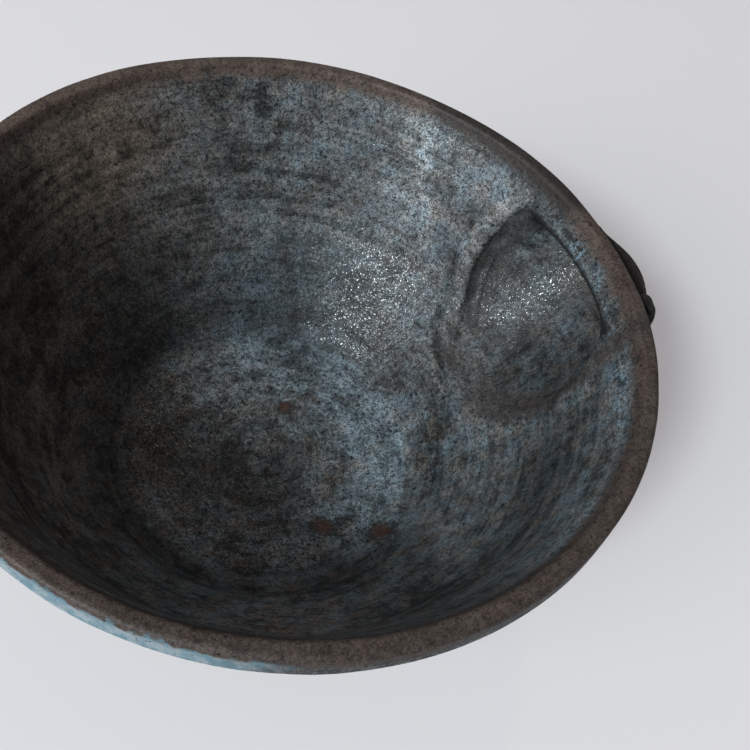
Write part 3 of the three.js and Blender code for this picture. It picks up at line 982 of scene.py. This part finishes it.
inner_foot = FOOT_RADIUS - FOOT_WIDTH
foot_corners = [
    (inner_foot, FOOT_HEIGHT + FOOT_ROOT),
    (inner_foot, 0),
    (FOOT_RADIUS, 0),
    (FOOT_RADIUS, FOOT_HEIGHT + FOOT_ROOT),
]
foot_outline = [np.array(foot_corners[0])]
for i in (1, 2):
    foot_outline += rounded_corner(*foot_corners[i - 1:i + 2], FOOT_ROUNDING, FOOT_ARC_STEPS)
foot_outline.append(np.array(foot_corners[3]))
points, quads = turned_mesh(np.array(foot_outline), FOOT_TURN_STEPS)
add_mesh("foot_ring", points, quads, [], clay, "foot_ring")

# The set: floor, light and camera
CAMERA_ELEVATION = math.radians(51.53)
CAMERA_ROLL = math.radians(17.55)
CAMERA_AZIMUTH = math.radians(34.5)
RIM_MIDDLE_IN_VIEW = (-0.0772, 0.0852)
CAMERA_DISTANCE = 2.606 * RIM_RADIUS
FLOOR_REACH = 3.0
FLOOR_COLOR, FLOOR_GLOW_COLOR, FLOOR_GLOW = (0.400, 0.388, 0.392), (0.95, 0.93, 0.97), 0.22
PANE_COLOR, LAMP_COLOR = (0.84, 0.95, 1.0), (1.0, 0.72, 0.45)
SKY_COLOR, SKY_STRENGTH = (0.9, 0.93, 1.0), 0.33
LIGHTS_AIM = (0, 0, 0.05)


def set_camera():
    data = bpy.data.cameras.new("camera")
    camera = bpy.data.objects.new("camera", data)
    bpy.context.scene.collection.objects.link(camera)
    data.sensor_width = 36
    data.lens = 48
    cos, sin = math.cos(CAMERA_ELEVATION), math.sin(CAMERA_ELEVATION)
    turn = Matrix.Rotation(-CAMERA_AZIMUTH, 3, "Z")
    ahead = Vector((0, cos, -sin))
    right = Vector((1, 0, 0))
    above = right.cross(ahead)
    roll_cos, roll_sin = math.cos(CAMERA_ROLL), math.sin(CAMERA_ROLL)
    across = turn @ (right * roll_cos + above * roll_sin)
    upward = turn @ (above * roll_cos - right * roll_sin)
    ahead = turn @ ahead
    offset = across * RIM_MIDDLE_IN_VIEW[0] + upward * RIM_MIDDLE_IN_VIEW[1] + ahead
    place = Vector((AXIS_X, 0, HEIGHT)) - offset * CAMERA_DISTANCE
    camera.matrix_world = Matrix.Translation(place * MM) @ Matrix(
        (across, upward, -ahead)
    ).transposed().to_4x4()
    data.clip_start, data.clip_end = 0.01, 20
    bpy.context.scene.camera = camera


def area_light(name, azimuth, elevation, distance, size, power):
    data = bpy.data.lights.new(name, "AREA")
    data.shape = "DISK"
    data.size = size
    data.energy = power
    light = bpy.data.objects.new(name, data)
    bpy.context.scene.collection.objects.link(light)
    a, e = math.radians(azimuth), math.radians(elevation)
    away = Vector((math.cos(a) * math.cos(e), math.sin(a) * math.cos(e), math.sin(e)))
    light.location = Vector(LIGHTS_AIM) + away * distance
    light.rotation_mode = "QUATERNION"
    light.rotation_quaternion = away.to_track_quat("Z", "Y")
    return light


def floor_material():
    """Pale cloth that the camera sees a little brighter, so that its shadow stays soft."""
    n = Nodes("floor_cloth")
    n.shader.inputs["Base Color"].default_value = (*FLOOR_COLOR, 1)
    n.shader.inputs["Roughness"].default_value = 0.9
    n.shader.inputs["Emission Color"].default_value = (*FLOOR_GLOW_COLOR, 1)
    seen = n.add("ShaderNodeLightPath").outputs["Is Camera Ray"]
    n.link(n.times(seen, FLOOR_GLOW), n.shader.inputs["Emission Strength"])
    return n.material


set_camera()
area_light("window", azimuth=-160, elevation=29, distance=2.8, size=1.9, power=66)
pane = area_light("bright_pane", azimuth=-149, elevation=41, distance=2.8, size=0.45, power=74)
pane.data.color = PANE_COLOR
lamp = area_light("lamp", azimuth=49, elevation=66, distance=1.5, size=0.05, power=1.6)
lamp.data.color = LAMP_COLOR

floor_mesh = bpy.data.meshes.new("floor")
floor_corners = [(FLOOR_REACH * i, FLOOR_REACH * j, 0) for i, j in ((-1, -1), (1, -1), (1, 1), (-1, 1))]
floor_mesh.from_pydata(floor_corners, [], [(0, 1, 2, 3)])
floor = bpy.data.objects.new("floor", floor_mesh)
bpy.context.scene.collection.objects.link(floor)
floor_mesh.materials.append(floor_material())

world = bpy.data.worlds.new("world")
bpy.context.scene.world = world
world.use_nodes = True
world.node_tree.nodes["Background"].inputs["Color"].default_value = (*SKY_COLOR, 1)
world.node_tree.nodes["Background"].inputs["Strength"].default_value = SKY_STRENGTH

bpy.context.scene.view_settings.view_transform = "Standard"
